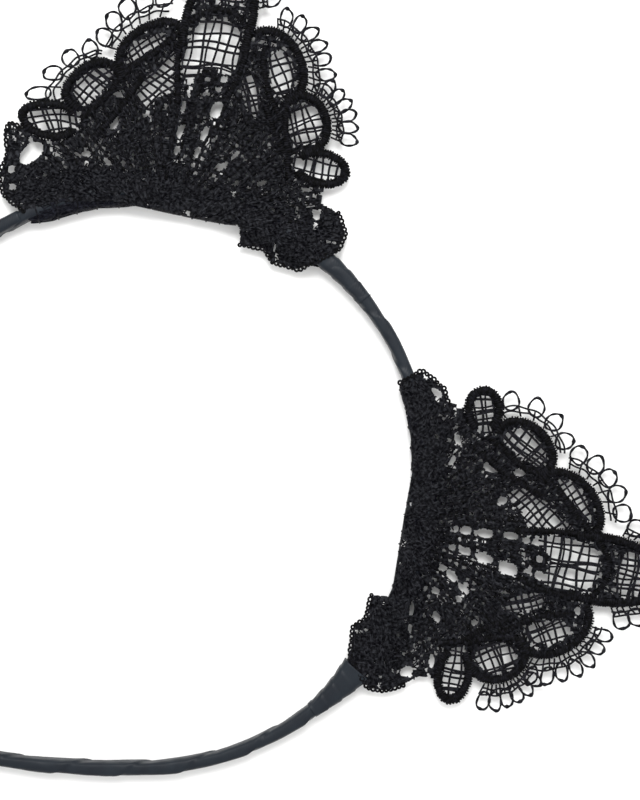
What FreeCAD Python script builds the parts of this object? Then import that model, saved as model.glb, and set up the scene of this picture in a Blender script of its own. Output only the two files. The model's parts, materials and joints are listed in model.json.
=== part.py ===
import FreeCAD, Part
import math
import os

# Lace cat-ear headband. It lies flat: the hoop is in the XY plane, +Z is up, +Y points to the crown.
# The origin is the middle of the hoop, on the plane that it lies on. Lengths are in millimetres.
# A place along the hoop is given by its heading: 0 at the crown, positive round the wearer's right side.

# ---- the hoop: one arc over the crown and both sides, then a flatter arc to each tip
CROWN_Y = 65.8            # band centreline at the crown
HOOP_RADIUS = 61.9        # band centreline
SIDE_HEADING = 123.4      # heading at which the round arc ends
END_RADIUS = 178.0
TIP_HEADING = 136.5

# ---- the band's section: radial thickness by axial width
BAND_THICKNESS = 2.9
BAND_WIDTH = 4.8
STRIP_THICKNESS = 1.2
STRIP_WIDTH = 3.9
BAND_ROUNDING = 1.1

# ---- layers, from the plane that it lies on
MID_Z = 2.8               # middle of the band and of the lace
HEM_TOP = 5.4
CLOTH_THICKNESS = 0.8
NET_THICKNESS = 0.4
CORD_HEIGHT = 0.9
STITCH_HEIGHT = 0.35

# ---- flex hinges: one in each arm, one along the foot of each ear
FLEX_HEADING = 91.0
FLEX_GAP = 0.3            # each side of the hinge
EAR_HINGE_V = 68.0        # distance of the ear's hinge line from the middle of the hoop
EAR_GAP = 0.5             # each side of the hinge line

# ---- the ears: where each one's axis stands, from the crown
EAR_ANGLES = {"left": -43.0, "right": 45.0}
HEM_SPAN = (-31.0, 29.5)  # from the ear's axis, as seen from the middle of the hoop
HEM_INSIDE = 2.0          # how far the hem stands inside the band
HEM_OUTSIDE = 0.5
HEM_ROUNDING = 0.8
COLLAR_SPAN = (29.5, 40.0)
COLLAR_WALL = 0.35        # over the band, at the collar's thin end
COLLAR_FLARE = 1.7        # more than that on each side, at its thick end
COLLAR_BELOW = 0.3        # how far it stands below the band
COLLAR_TOP = HEM_TOP - 0.1
TIP_FOLD = 8.0
TIP_FOLD_WALL = 0.4
STITCH_PITCH = 4.5
STITCH_WIDTH = 0.5        # along the hoop
STITCH_INSIDE = 1.6       # how far a stitch reaches each side of the band's centreline
STITCH_OUTSIDE = 0.9

# ---- the lace motif, in the ear's own upright frame: u to the right, v away from the hoop
# Each petal is an oval: centre u and v, half length, half width, tilt of its length from +u in degrees.
PETALS = {
    "low_left": (-29.9, 73.2, 5.7, 4.8, 10),
    "mid_left": (-23.3, 83.3, 8.3, 6.2, 58),
    "high_left": (-12.7, 94.7, 9.6, 7.0, 50),
    "tip": (-0.3, 104.0, 15.5, 8.3, 90),
    "high_right": (13.2, 95.6, 9.6, 7.2, 128),
    "mid_right": (21.8, 84.9, 7.6, 6.4, 118),
    "low_right": (27.3, 76.2, 7.0, 4.7, 0),
}
CORD_WIDTH = 1.9
CORD_INSET = 0.1          # from a petal's edge
WINDOWS = {
    "low_left": (-29.9, 73.3, 3.8, 2.9, 10),
    "mid_left": (-23.6, 83.3, 6.0, 3.9, 58),
    "high_left": (-13.6, 97.2, 4.4, 1.8, 42),
    "inner_left": (-10.4, 87.9, 6.2, 3.3, 52),
    "middle": (-0.2, 97.0, 6.3, 5.2, 90),
    "tip": (-0.1, 112.0, 5.6, 4.3, 90),
    "inner_right": (9.3, 88.2, 4.2, 1.8, 100),
    "high_right": (14.4, 95.6, 5.2, 2.8, 120),
    "mid_right": (21.9, 85.1, 4.6, 3.8, 118),
    "low_right": (26.8, 76.3, 4.9, 2.9, 0),
}
FAN = [(-30, 60), (-30, 72), (-25, 80), (-19, 90), (-13, 98), (-7.4, 102), (7.4, 102),
       (13.5, 98), (20, 90), (25, 80), (29, 72), (29, 60)]
# The foot of the lace: its inner edge steps inward in a lobe at one end, and it ends in a tab at the other.
# The flap above the lobe is a little wider on the left ear.
FOOT_FLAP = {
    "left": [(29.0, 69.0), (33.0, 67.6), (35.4, 63.6), (34.6, 59.6)],
    "right": [(29.0, 69.0), (31.4, 66.0), (33.3, 62.0), (33.2, 58.6)],
}
FOOT_LOBE = [(27.0, 53.6), (20.6, 53.2), (18.6, 55.6), (13.4, 56.0), (12.6, 60.0)]
FOOT_INNER = [(12.6, 60.0), (0.0, 61.2), (-14.0, 60.2), (-25.0, 57.8), (-32.6, 54.4)]
FOOT_TAB = [(-32.6, 54.4), (-36.0, 58.6), (-34.6, 61.4), (-33.0, 64.0), (-30.4, 65.2), (-30.0, 69.0)]

# ---- the picot edging: for each petal, the first and last loop's direction from its centre, and the number
PICOTS = {
    "mid_left": (214, 116, 4),
    "high_left": (184, 106, 5),
    "tip": (148, 32, 9),
    "high_right": (76, 0, 5),
    "mid_right": (55, -30, 4),
}
PICOT_LENGTH = 5.6
PICOT_WIDTH = 3.2
PICOT_ROOT = 0.2          # how far a loop's root reaches into the cloth's edge
PICOT_THREAD = 0.5
REACH = 200.0             # larger than the whole object, for cutting boxes

ROUND_CENTRE_Y = CROWN_Y - HOOP_RADIUS
BOTTOM_Z = MID_Z - BAND_WIDTH / 2
CLOTH_TOP = MID_Z + CLOTH_THICKNESS / 2
CLOTH_BOTTOM = MID_Z - CLOTH_THICKNESS / 2


def vector(x, y, z=0.0):
    return FreeCAD.Vector(x, y, z)


def hoop_point(heading, offset, z):
    """A point of the hoop, moved out from the band's centreline by offset."""
    turn = math.radians(heading)
    out = vector(math.sin(turn), math.cos(turn))
    point = vector(0, ROUND_CENTRE_Y, z) + out * (HOOP_RADIUS + offset)
    if abs(heading) > SIDE_HEADING:
        side = math.copysign(math.radians(SIDE_HEADING), heading)
        centre_shift = vector(math.sin(side), math.cos(side)) * (HOOP_RADIUS - END_RADIUS)
        point = vector(0, ROUND_CENTRE_Y, z) + centre_shift + out * (END_RADIUS + offset)
    return point


def heading_at(angle):
    """The heading where the round arc is crossed by a ray from the origin, angle degrees from the crown."""
    shift = math.asin(ROUND_CENTRE_Y * math.sin(math.radians(angle)) / HOOP_RADIUS)
    return angle + math.degrees(shift)


def hoop_arcs(start, end, start_offset, end_offset, z):
    """Edges along the hoop between two headings, split where its radius changes."""
    stops = sorted({start, end, *[s for s in (-SIDE_HEADING, SIDE_HEADING) if start < s < end]})
    edges = []
    for a, b in zip(stops, stops[1:]):
        places = [a, (a + b) / 2, b]
        offsets = [start_offset + (end_offset - start_offset) * (p - start) / (end - start) for p in places]
        points = [hoop_point(p, o, z) for p, o in zip(places, offsets)]
        edges.append(Part.Arc(*points).toShape())
    return edges


def band(start, end, inside, outside, bottom, top, rounding=0.0, flare=0.0):
    """A block that follows the hoop between two headings. inside and outside are offsets from the centreline.
    With a flare, its start is that much wider on each side than its end."""
    inner = hoop_arcs(start, end, -inside - flare, -inside, bottom)
    outer = hoop_arcs(start, end, outside + flare, outside, bottom)
    first = Part.makeLine(hoop_point(start, -inside - flare, bottom), hoop_point(start, outside + flare, bottom))
    last = Part.makeLine(hoop_point(end, -inside, bottom), hoop_point(end, outside, bottom))
    face = Part.Face(Part.Wire(Part.__sortEdges__(inner + outer + [first, last])))
    block = face.extrude(vector(0, 0, top - bottom))
    if rounding:
        rims = [e for e in block.Edges if e.BoundBox.ZLength < 1e-6 and isinstance(e.Curve, Part.Circle)]
        block = block.makeFillet(rounding, rims)
    return block


def ribbon_room(start, end):
    """The whole outer shape of the ribbon-wound band between two headings."""
    half = BAND_THICKNESS / 2
    return band(start, end, half, half, BOTTOM_Z, BOTTOM_Z + BAND_WIDTH, BAND_ROUNDING)


def strip(start, end):
    half = STRIP_THICKNESS / 2
    return band(start, end, half, half, MID_Z - STRIP_WIDTH / 2, MID_Z + STRIP_WIDTH / 2)


def ribbon(start, end):
    """The wound ribbon as one tube round the strip."""
    return ribbon_room(start, end).cut(strip(start, end))


def tip_fold(side):
    """The ribbon folded over a tip and glued down; the object rests on it."""
    length = math.degrees(TIP_FOLD / END_RADIUS)
    beyond = math.degrees(TIP_FOLD_WALL / END_RADIUS)
    headings = sorted([side * (TIP_HEADING - length), side * (TIP_HEADING + beyond)])
    half = BAND_THICKNESS / 2 + TIP_FOLD_WALL
    fold = band(*headings, half, half, 0.0, 2 * MID_Z, BAND_ROUNDING)
    return fold.cut(ribbon_room(-TIP_HEADING, TIP_HEADING))


def collar(ear_angle):
    """Extra turns of ribbon over the lace's end, thick at the lace and thin at the bare band."""
    start, end = [heading_at(ear_angle + a) for a in COLLAR_SPAN]
    half = BAND_THICKNESS / 2 + COLLAR_WALL
    block = band(start, end, half, half, BOTTOM_Z - COLLAR_BELOW, COLLAR_TOP, flare=COLLAR_FLARE)
    return block.cut(ribbon_room(-TIP_HEADING, TIP_HEADING))


def curve(points):
    """A straight edge through two points, or one smooth edge through more."""
    points = [vector(u, v) for u, v in points]
    if len(points) == 2:
        return Part.makeLine(*points)
    spline = Part.BSplineCurve()
    spline.interpolate(points)
    return spline.toShape()


def plate(edges, bottom, top):
    """A flat plate inside one closed outline."""
    face = Part.Face(Part.Wire(Part.__sortEdges__(edges)))
    face.translate(vector(0, 0, bottom))
    return face.extrude(vector(0, 0, top - bottom))


def oval(place, bottom, top, grow=0.0):
    """An oval plate: centre u and v, half length, half width and tilt."""
    u, v, length, width, tilt = place
    ellipse = Part.Ellipse(vector(0, 0), length + grow, width + grow).toShape()
    shape = Part.Face(Part.Wire([ellipse])).extrude(vector(0, 0, top - bottom))
    shape.rotate(vector(0, 0), vector(0, 0, 1), tilt)
    shape.translate(vector(u, v, bottom))
    return shape


def fuse(shapes):
    return shapes[0].multiFuse(shapes[1:]).removeSplitter()


def beyond_hinge(shape):
    """Keeps what moves with the ear."""
    corner = vector(-REACH / 2, EAR_HINGE_V + EAR_GAP, -REACH / 2)
    return shape.common(Part.makeBox(REACH, REACH, REACH, corner))


def clothwork():
    """The dense embroidered fan with its petals, open at the windows."""
    corners = FAN + FAN[:1]
    sides = [Part.makeLine(vector(*a), vector(*b)) for a, b in zip(corners, corners[1:])]
    solids = [plate(sides, CLOTH_BOTTOM, CLOTH_TOP)]
    solids += [oval(p, CLOTH_BOTTOM, CLOTH_TOP) for p in PETALS.values()]
    windows = [oval(w, CLOTH_BOTTOM - 1, CLOTH_TOP + 1) for w in WINDOWS.values()]
    return beyond_hinge(fuse(solids).cut(windows))


def net_fillings():
    """Thin net in each window."""
    bottom = MID_Z - NET_THICKNESS / 2
    return [oval(w, bottom, bottom + NET_THICKNESS) for w in WINDOWS.values()]


def outline_cords():
    """Raised cords round the petals, lying on the clothwork."""
    rings = []
    for place in PETALS.values():
        outer = oval(place, CLOTH_TOP, CLOTH_TOP + CORD_HEIGHT, -CORD_INSET)
        inner = oval(place, CLOTH_TOP - 1, CLOTH_TOP + CORD_HEIGHT + 1, -CORD_INSET - CORD_WIDTH)
        rings.append(outer.cut(inner))
    return beyond_hinge(fuse(rings)).cut([oval(w, 0, HEM_TOP) for w in WINDOWS.values()])


def picot_edging(cloth):
    """Thread loops that stand out from the petals' edges."""
    bottom = MID_Z - NET_THICKNESS / 2
    loops = []
    for petal, (first, last, count) in PICOTS.items():
        u, v, length, width, tilt = PETALS[petal]
        for i in range(count):
            direction = first + (last - first) * i / (count - 1)
            turn = math.radians(direction - tilt)
            radius = length * width / math.hypot(width * math.cos(turn), length * math.sin(turn))
            reach = radius + PICOT_LENGTH / 2 - PICOT_ROOT
            place = (u + reach * math.cos(math.radians(direction)), v + reach * math.sin(math.radians(direction)),
                     PICOT_LENGTH / 2, PICOT_WIDTH / 2, direction)
            loop = oval(place, bottom, bottom + NET_THICKNESS)
            open_loop = loop.cut([oval(place, bottom - 1, bottom + 1, -PICOT_THREAD), cloth])
            loops.append(max(open_loop.Solids, key=lambda solid: solid.Volume))
    return Part.makeCompound(loops)


def foot(side):
    """The flat part of the lace that is sewn to the band, with its flap, its lobe and its tab."""
    flap = FOOT_FLAP[side]
    lobe = flap[-1:] + FOOT_LOBE
    tab = FOOT_TAB + flap[:1]
    edges = [curve(flap), curve(FOOT_INNER)]
    for outline in (lobe, tab):
        edges += [curve(pair) for pair in zip(outline, outline[1:])]
    corner = vector(-REACH / 2, EAR_HINGE_V - EAR_GAP - REACH, -REACH / 2)
    return plate(edges, CLOTH_BOTTOM, CLOTH_TOP).common(Part.makeBox(REACH, REACH, REACH, corner))


def on_ear(shape, angle):
    """Turns a shape from the ear's upright frame to its place on the hoop."""
    turned = shape.copy()
    turned.rotate(vector(0, 0), vector(0, 0, 1), -angle)
    return turned


def hem(side, angle):
    """The lace's foot and the roll of lace round the band, with a tunnel for the band."""
    start, end = [heading_at(angle + a) for a in HEM_SPAN]
    half = BAND_THICKNESS / 2
    roll = band(start, end, half + HEM_INSIDE, half + HEM_OUTSIDE, 0.0, HEM_TOP, HEM_ROUNDING)
    whole = fuse([roll, on_ear(foot(side), angle)])
    return whole.cut([ribbon_room(-TIP_HEADING, TIP_HEADING), collar(angle)])


def hem_stitches(angle):
    """Short stitches across the band, on top of the hem."""
    start, end = [heading_at(angle + a) for a in HEM_SPAN]
    step = math.degrees(STITCH_PITCH / HOOP_RADIUS)
    width = math.degrees(STITCH_WIDTH / HOOP_RADIUS)
    top = HEM_TOP + STITCH_HEIGHT
    first = start + 0.7 * step
    stitches = []
    for i in range(int((end - start) / step)):
        heading = first + step * i
        stitches.append(band(heading, heading + width, STITCH_INSIDE, STITCH_OUTSIDE, HEM_TOP, top))
    return stitches


def save(name, solids):
    shape = solids if isinstance(solids, Part.Shape) else Part.makeCompound(solids)
    print(f"{name}: {len(shape.Solids)} solids, {shape.Volume:.1f} mm3, valid {shape.isValid()}")
    shape.exportStep(f"parts/{name}.step")


os.makedirs("parts", exist_ok=True)
gap = math.degrees(FLEX_GAP / HOOP_RADIUS)
stretches = {
    "crown": (-FLEX_HEADING + gap, FLEX_HEADING - gap),
    "left_arm": (-TIP_HEADING, -FLEX_HEADING - gap),
    "right_arm": (FLEX_HEADING + gap, TIP_HEADING),
}
for stretch, ends in stretches.items():
    save(f"{stretch}_strip", strip(*ends))
    save(f"{stretch}_ribbon", ribbon(*ends))
for side, sign in (("left", -1), ("right", 1)):
    save(f"{side}_tip_fold", tip_fold(sign))

cloth = clothwork()
picots = picot_edging(cloth)
cords = outline_cords()
nets = Part.makeCompound(net_fillings())
for side, angle in EAR_ANGLES.items():
    save(f"{side}_lace_collar", collar(angle))
    save(f"{side}_lace_hem", hem(side, angle))
    save(f"{side}_hem_stitches", hem_stitches(angle))
    save(f"{side}_ear_clothwork", on_ear(cloth, angle))
    save(f"{side}_ear_net", on_ear(nets, angle))
    save(f"{side}_ear_outline_cord", on_ear(cords, angle))
    save(f"{side}_ear_picots", on_ear(picots, angle))
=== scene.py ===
import json
import math

import bpy
import numpy as np
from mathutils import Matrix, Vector


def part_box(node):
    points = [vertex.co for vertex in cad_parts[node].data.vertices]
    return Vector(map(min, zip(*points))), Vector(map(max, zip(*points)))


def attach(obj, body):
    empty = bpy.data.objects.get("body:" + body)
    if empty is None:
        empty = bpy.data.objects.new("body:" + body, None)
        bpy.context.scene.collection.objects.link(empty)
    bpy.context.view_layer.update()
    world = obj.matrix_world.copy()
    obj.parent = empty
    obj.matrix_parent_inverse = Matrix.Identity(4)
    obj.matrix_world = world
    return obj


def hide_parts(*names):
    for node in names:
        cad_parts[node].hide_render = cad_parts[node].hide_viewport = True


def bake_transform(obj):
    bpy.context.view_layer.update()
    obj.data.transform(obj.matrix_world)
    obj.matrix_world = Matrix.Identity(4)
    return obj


# A lace cat-ear headband: a hoop wound in ribbon, and two lace ears sewn on to it.
# Places are worked out in millimetres, and turned to metres when a piece is made.
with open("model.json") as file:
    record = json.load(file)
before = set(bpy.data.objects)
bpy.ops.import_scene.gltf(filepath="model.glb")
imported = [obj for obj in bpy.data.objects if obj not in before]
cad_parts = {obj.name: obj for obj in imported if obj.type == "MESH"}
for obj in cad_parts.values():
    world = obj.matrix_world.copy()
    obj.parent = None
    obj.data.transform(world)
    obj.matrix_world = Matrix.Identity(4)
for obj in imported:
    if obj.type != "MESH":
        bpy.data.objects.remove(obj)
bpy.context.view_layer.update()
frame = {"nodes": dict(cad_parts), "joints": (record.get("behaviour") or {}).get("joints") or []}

MM = 0.001
UP = np.array([0.0, 0.0, 1.0])
FULL_TURN = 2 * np.pi
TINY = 1e-9


# ---- places read from the frame

def box_mm(node):
    """Lowest and highest corner of a CAD node, in millimetres."""
    low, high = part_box(node)
    return np.array(low) / MM, np.array(high) / MM


joints = {joint["name"]: joint for joint in frame["joints"]}
ribbon_low, ribbon_high = box_mm("crown_ribbon")
cloth_low, cloth_high = box_mm("right_ear_clothwork")

BAND_THICKNESS = 2.9
BAND_WIDTH = ribbon_high[2] - ribbon_low[2]
MID_Z = (cloth_low[2] + cloth_high[2]) / 2
HEM_TOP = box_mm("right_lace_hem")[1][2]
HOOP_RADIUS = ribbon_high[0] - BAND_THICKNESS / 2
ROUND_CENTRE_Y = ribbon_high[1] - ribbon_high[0]
SIDE_HEADING = 123.4  # the hoop is round up to this heading, then flatter to the tip
END_RADIUS = 178.0
TIP_HEADING = 136.5
FLEX_HEADING = 91.0


# ---- the lace motif

# The motif is in the ear's upright frame: u to the right, v away from the middle of the hoop.
# A petal is an oval: its centre u and v, half length, half width, and the tilt of its length from +u in
# degrees. Then the first and last direction of its raised outline, in degrees from its length.
PETALS = {
    "low_left": (-29.9, 73.2, 5.7, 4.8, 10, 25, 330),
    "mid_left": (-23.3, 83.3, 8.3, 6.2, 58, -35, 200),
    "high_left": (-12.7, 94.7, 9.6, 7.0, 50, -8, 196),
    "tip": (-0.3, 104.0, 15.5, 8.3, 90, -118, 118),
    "high_right": (13.2, 95.6, 9.6, 7.2, 128, -190, 5),
    "mid_right": (21.8, 84.9, 7.6, 6.4, 118, -205, 25),
    "low_right": (27.3, 76.2, 7.0, 4.7, 0, -150, 150),
}
PETAL_INSET = 0.5
# A window is the tilt of its net, the pitch of the net's threads, and the points that its outline rounds.
WINDOWS = {
    "low_left": (14, 1.5, [(-34.0, 71.6), (-32.4, 74.5), (-28.8, 76.3), (-25.0, 76.4), (-26.4, 71.4),
        (-28.4, 69.4), (-31.8, 69.4)]),
    "mid_left": (58, 1.9, [(-27.2, 81.4), (-26.0, 84.8), (-23.6, 87.2), (-20.2, 88.2), (-20.6, 84.6),
        (-22.9, 80.2), (-24.8, 78.5)]),
    "high_left": (45, 1.5, [(-17.6, 91.6), (-17.0, 95.4), (-14.2, 98.2), (-10.8, 99.8), (-10.6, 98.2),
        (-13.8, 95.4), (-15.6, 91.8)]),
    "inner_left": (52, 1.6, [(-14.6, 84.6), (-12.6, 89.2), (-9.8, 93.0), (-7.2, 97.0), (-6.0, 93.4),
                             (-6.2, 87.6), (-10.2, 84.4), (-12.6, 81.6)]),
    "middle": (0, 1.9, [(-5.3, 91.4), (-5.4, 97.4), (-4.2, 101.8), (0.0, 103.3), (4.0, 101.8), (5.1, 97.4),
                        (4.7, 92.4), (2.9, 91.9), (0.2, 93.2), (-2.2, 91.8), (-3.6, 89.8)]),
    "tip": (0, 1.2, [(-4.9, 109.0), (-5.0, 113.0), (-3.2, 116.8), (0.0, 118.6), (3.0, 116.8), (4.8, 113.0),
                     (4.6, 109.0), (0.0, 107.2)]),
    "inner_right": (25, 1.3, [(7.2, 92.4), (9.4, 92.2), (11.3, 88.6), (11.7, 84.8), (9.8, 85.0),
                              (7.8, 88.4)]),
    "high_right": (30, 1.7, [(12.0, 96.8), (13.6, 98.7), (16.0, 97.8), (17.4, 94.6), (17.0, 90.8),
                             (15.4, 89.6), (13.2, 92.6)]),
    "mid_right": (28, 1.6, [(18.6, 84.0), (19.8, 87.6), (22.4, 88.9), (25.2, 87.4), (25.7, 84.2),
        (24.2, 81.4), (21.2, 80.3)]),
    "low_right": (2, 1.5, [(21.3, 76.8), (23.8, 79.3), (27.8, 79.4), (31.2, 77.2), (31.0, 74.4),
        (27.6, 73.0), (23.4, 73.6)]),
}
# Narrower raised bands between the windows, each through a few points.
INNER_BANDS = [
    [(-18.0, 87.6), (-15.4, 92.0), (-11.6, 95.8), (-7.6, 100.4)],
    [(-5.6, 84.0), (-6.4, 90.0), (-7.0, 96.0), (-6.7, 101.4)],
    [(4.2, 86.0), (6.0, 91.6), (6.6, 97.0), (6.2, 101.4)],
    [(-6.6, 101.6), (-3.6, 104.4), (0.0, 105.4), (3.6, 104.4), (6.6, 101.6)],
    [(-24.6, 75.0), (-22.0, 79.0), (-19.4, 83.2), (-18.2, 87.6)],
    [(-22.0, 72.0), (-17.8, 79.0), (-15.6, 84.0), (-13.6, 89.0)],
    [(10.2, 99.6), (11.2, 94.0), (13.6, 89.0), (17.0, 84.6)],
    [(17.2, 90.4), (17.6, 86.0), (18.6, 81.0), (20.4, 77.6)],
    [(13.0, 87.0), (16.0, 81.6), (19.6, 77.0), (21.0, 72.6)],
]
EYE = (-0.3, 90.3, 1.5, 1.4, 90)
# Slots between the ribs of the fan, and the other clear holes, as ovals.
SLOTS = [
    (-3.6, 71.5, 0.8, 0.5, 0), (-3.7, 73.7, 1.25, 0.95, 90), (-3.8, 77.9, 1.8, 1.05, 90),
    (-4.2, 83.4, 1.6, 0.8, 90), (-3.7, 86.8, 0.8, 0.7, 90), (-3.8, 89.2, 1.0, 0.8, 90),
    (0.4, 71.4, 0.8, 0.6, 80), (0.7, 74.3, 1.5, 0.85, 84), (1.4, 78.5, 2.1, 0.95, 76),
    (2.8, 84.0, 2.2, 1.35, 72), (2.5, 88.4, 0.8, 0.75, 80), (3.2, 90.8, 1.1, 0.9, 60),
    (6.5, 72.4, 1.6, 0.85, 50), (8.8, 75.3, 1.6, 0.65, 55), (5.2, 70.1, 0.8, 0.6, 60),
    (10.2, 69.4, 1.0, 0.7, 80), (15.6, 70.6, 1.3, 0.7, 30), (-18.0, 76.8, 1.7, 1.1, 80),
    (-11.3, 80.4, 1.0, 0.8, 110), (-22.6, 68.8, 1.2, 0.8, 25), (-18.2, 68.4, 1.0, 0.6, 10),
    (14.6, 64.9, 1.8, 0.5, 6), (19.0, 65.3, 1.1, 0.45, 8), (28.3, 66.2, 1.5, 1.0, 125),
    (25.2, 71.1, 1.5, 0.65, 5), (9.3, 100.2, 0.8, 0.7, 0), (15.4, 79.0, 0.7, 0.6, 120),
    (-0.3, 90.3, 0.8, 0.75, 0), (-17.8, 83.0, 1.1, 0.8, 80), (11.0, 74.6, 0.7, 0.6, 50),
    (-9.4, 66.2, 0.8, 0.4, 0),
]
# How far stitches close each slot from its edge.
SLOT_CLOSING = {"left": 0.35, "right": 0.1}
FAN = [(-30, 60), (-30, 72), (-25, 80), (-19, 90), (-13, 98), (-7.4, 102), (7.4, 102),
       (13.5, 98), (20, 90), (25, 80), (29, 72), (29, 60)]
FAN_FOCUS = np.array([-2.6, 55.0])  # where the fan's ribs would meet
# The foot of the lace, whose flap and tail are a little wider on the left ear.
FOOT_FLAP = {
    "left": [(29.0, 69.0), (33.0, 67.6), (35.4, 63.6), (34.6, 59.6)],
    "right": [(29.0, 69.0), (31.4, 66.0), (33.3, 62.0), (33.2, 58.6)],
}
FOOT_LOBE = [(27.0, 53.6), (20.6, 53.2), (18.6, 55.6), (13.4, 56.0), (12.6, 60.0)]
FOOT_INNER = [(0.0, 61.2), (-14.0, 60.2), (-25.0, 57.8)]
FOOT_TAIL = {
    "left": [(-33.0, 54.2), (-38.2, 56.8), (-40.2, 61.0), (-38.8, 65.6), (-38.8, 69.6), (-36.8, 71.4),
             (-33.6, 70.6), (-30.0, 69.0)],
    "right": [(-32.6, 54.4), (-36.0, 58.6), (-34.6, 61.4), (-33.0, 64.0), (-30.4, 65.2), (-30.0, 69.0)],
}
TAIL_HOLES = {
    "left": [(-33.6, 66.3, 2.9, 1.3, 41), (-37.6, 62.6, 0.8, 0.6, 60), (-36.8, 59.0, 0.7, 0.6, 0)],
    "right": [(-31.8, 62.6, 1.3, 0.55, 60), (-35.0, 60.0, 0.9, 0.6, 60)],
}

# ---- how the lace lies
# It isn't sewn on quite evenly. A pull is a point, how far its reach spreads, and how far it moves in u, v.
PULLS = {
    "left": [(-36.0, 75.0, 7.0, -4.2, 1.2), (-29.0, 74.0, 7.0, 0.0, 1.6), (-23.0, 83.0, 6.0, -1.0, 0.4),
             (-12.5, 96.0, 9.0, -1.0, -2.4), (19.0, 54.0, 7.0, 0.4, 1.2)],
    "right": [],
}
# Its two slow waves: the height, the length over a full turn, the start, where along v it begins, and how far
# it takes to grow.
WAVE_ALONG_U = (0.35, 9.0, 0.8, 68.0, 25.0)
WAVE_ALONG_V = (0.25, 11.0, 0.0, 70.0, 20.0)
# Where it climbs over the band and comes down again, from the hoop's round centre, and over how far.
CLIMB = (56.6, 2.2)
DESCENT = (67.4, 3.8)
CLIMB_SHORT = 0.25  # how far below the hem's top the lace's middle stays


def ease(share):
    """Goes smoothly from 0 to 1 as share does."""
    share = np.clip(share, 0.0, 1.0)
    return share * share * (3 - 2 * share)


def slow_wave(along, v, wave):
    """The height of a slow wave of the lace, which grows with v."""
    height, length, start, begins, grows = wave
    return height * np.sin(along / length + start) * ease((v - begins) / grows)


class Ear:
    """One ear's upright frame, from the axis of its bend joint."""

    def __init__(self, side):
        joint = joints[f"{side}_ear_bend"]
        self.side = side
        self.across = np.array(joint["axis"])
        self.out = np.cross(UP, self.across)
        self.angle = math.degrees(math.atan2(self.out[0], self.out[1]))
        self.hoop_centre = ROUND_CENTRE_Y * np.array([self.across[1], self.out[1]])
        self.foot = FOOT_FLAP[side] + FOOT_LOBE + FOOT_INNER + FOOT_TAIL[side]

    def place(self, points):
        """Points given as u, v and height above the table, in the frame's millimetres."""
        return points[..., :1] * self.across + points[..., 1:2] * self.out + points[..., 2:] * UP

    def heading(self, angle):
        """The heading of the hoop, that many degrees round from the ear's axis."""
        return heading_at(self.angle + angle)

    def lay(self, line, height):
        """Points on the lace, at a height above its middle. It waves a little, and climbs over the band."""
        u, v = line[..., 0], line[..., 1]
        for at_u, at_v, spread, du, dv in PULLS[self.side]:
            share = np.exp(-((u - at_u) ** 2 + (v - at_v) ** 2) / spread ** 2)
            u, v = u + du * share, v + dv * share
        wave = slow_wave(u, v, WAVE_ALONG_U) + slow_wave(v, v, WAVE_ALONG_V)
        radius = np.hypot(u - self.hoop_centre[0], v - self.hoop_centre[1])
        over = ease((radius - CLIMB[0]) / CLIMB[1]) * ease((DESCENT[0] - radius) / DESCENT[1])
        return np.stack([u, v, MID_Z + wave + (HEM_TOP - MID_Z - CLIMB_SHORT) * over + height], -1)


# ---- the hoop's line

def hoop_points(heading, offset, z):
    """Points of the hoop at headings in degrees, moved out from the band's centreline by offset."""
    heading, offset, z = np.broadcast_arrays(*np.atleast_1d(heading, offset, z))
    turn = np.radians(heading)
    side = np.radians(np.copysign(SIDE_HEADING, heading))
    flat = np.abs(heading) > SIDE_HEADING
    shift = np.where(flat, HOOP_RADIUS - END_RADIUS, 0.0)
    radius = np.where(flat, END_RADIUS, HOOP_RADIUS) + offset
    x = shift * np.sin(side) + radius * np.sin(turn)
    y = ROUND_CENTRE_Y + shift * np.cos(side) + radius * np.cos(turn)
    return np.stack([x, y, z], -1)


def run_along(line):
    """How far along a line each of its points is."""
    return np.concatenate([[0.0], np.cumsum(np.linalg.norm(np.diff(line, axis=0), axis=1))])


def headings_along(start, end, step):
    """Headings from start to end, about step millimetres apart, and how far along the centreline they are."""
    fine = np.linspace(start, end, 2000)
    run = run_along(hoop_points(fine, 0.0, 0.0))
    count = max(2, round(run[-1] / step) + 1)
    wanted = np.linspace(0.0, run[-1], count)
    return np.interp(wanted, run, fine), wanted


def heading_at(angle):
    """The heading where the round part is crossed by a ray from the origin, in degrees from the crown."""
    return angle + math.degrees(math.asin(ROUND_CENTRE_Y * math.sin(math.radians(angle)) / HOOP_RADIUS))


# ---- mesh building

def add_object(name, data):
    """A new object in the scene."""
    added = bpy.data.objects.new(name, data)
    bpy.context.scene.collection.objects.link(added)
    return added


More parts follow.
